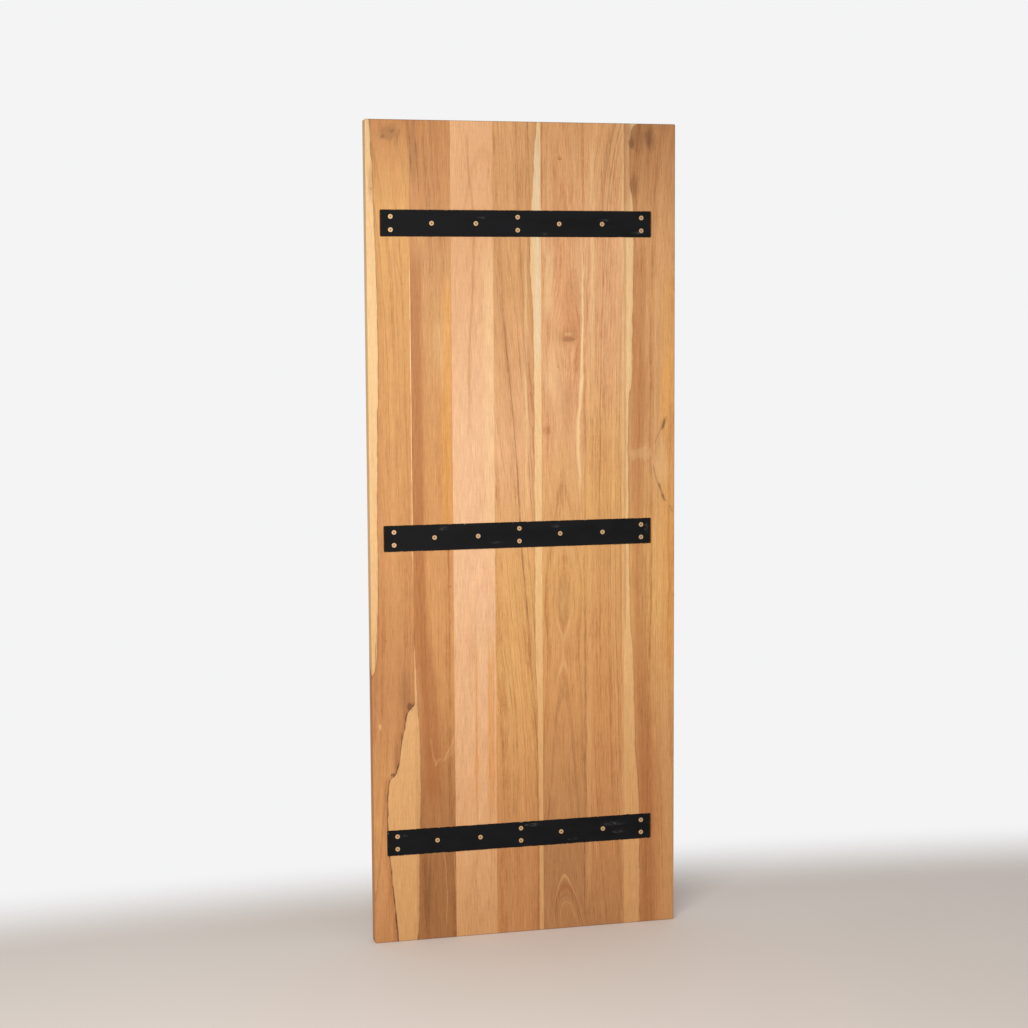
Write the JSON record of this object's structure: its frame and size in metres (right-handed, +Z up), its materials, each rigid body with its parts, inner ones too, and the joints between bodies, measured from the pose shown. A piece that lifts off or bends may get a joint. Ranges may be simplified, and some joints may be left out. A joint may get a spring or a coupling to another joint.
{
  "type": "strapped timber slab",
  "caption": "Solid edge-glued hardwood slab, for a door leaf or table top, kept flat by black steel straps let into its face and screwed down.",
  "frame": {"origin": "middle of the slab's bottom edge: centre of the width, middle of the thickness, level with the surface it stands on", "axes": "+Z up along the grain of the staves, +X across the slab to the right as seen facing the straps, -Y out of the strapped face and +Y out of the plain back face"},
  "size_m": [0.617, 0.03, 1.6],
  "materials": {
    "hardwood": "planed and sanded hardwood under thin clear oil",
    "black_strap": "matte black paint, scuffed",
    "zinc_screw": "yellow zinc plated, satin"
  },
  "bodies": {
    "root": {"stave_1": "hardwood", "stave_2": "hardwood", "stave_3": "hardwood", "stave_4": "hardwood", "stave_5": "hardwood", "stave_6": "hardwood", "stave_7": "hardwood", "bottom_strap": "black_strap", "middle_strap": "black_strap", "top_strap": "black_strap", "bottom_strap_screw_1": "zinc_screw", "bottom_strap_screw_2": "zinc_screw", "bottom_strap_screw_3": "zinc_screw", "bottom_strap_screw_4": "zinc_screw", "bottom_strap_screw_5": "zinc_screw", "bottom_strap_screw_6": "zinc_screw", "bottom_strap_screw_7": "zinc_screw", "bottom_strap_screw_8": "zinc_screw", "bottom_strap_screw_9": "zinc_screw", "bottom_strap_screw_10": "zinc_screw", "middle_strap_screw_1": "zinc_screw", "middle_strap_screw_2": "zinc_screw", "middle_strap_screw_3": "zinc_screw", "middle_strap_screw_4": "zinc_screw", "middle_strap_screw_5": "zinc_screw", "middle_strap_screw_6": "zinc_screw", "middle_strap_screw_7": "zinc_screw", "middle_strap_screw_8": "zinc_screw", "middle_strap_screw_9": "zinc_screw", "middle_strap_screw_10": "zinc_screw", "top_strap_screw_1": "zinc_screw", "top_strap_screw_2": "zinc_screw", "top_strap_screw_3": "zinc_screw", "top_strap_screw_4": "zinc_screw", "top_strap_screw_5": "zinc_screw", "top_strap_screw_6": "zinc_screw", "top_strap_screw_7": "zinc_screw", "top_strap_screw_8": "zinc_screw", "top_strap_screw_9": "zinc_screw", "top_strap_screw_10": "zinc_screw"}
  },
  "joints": []
}
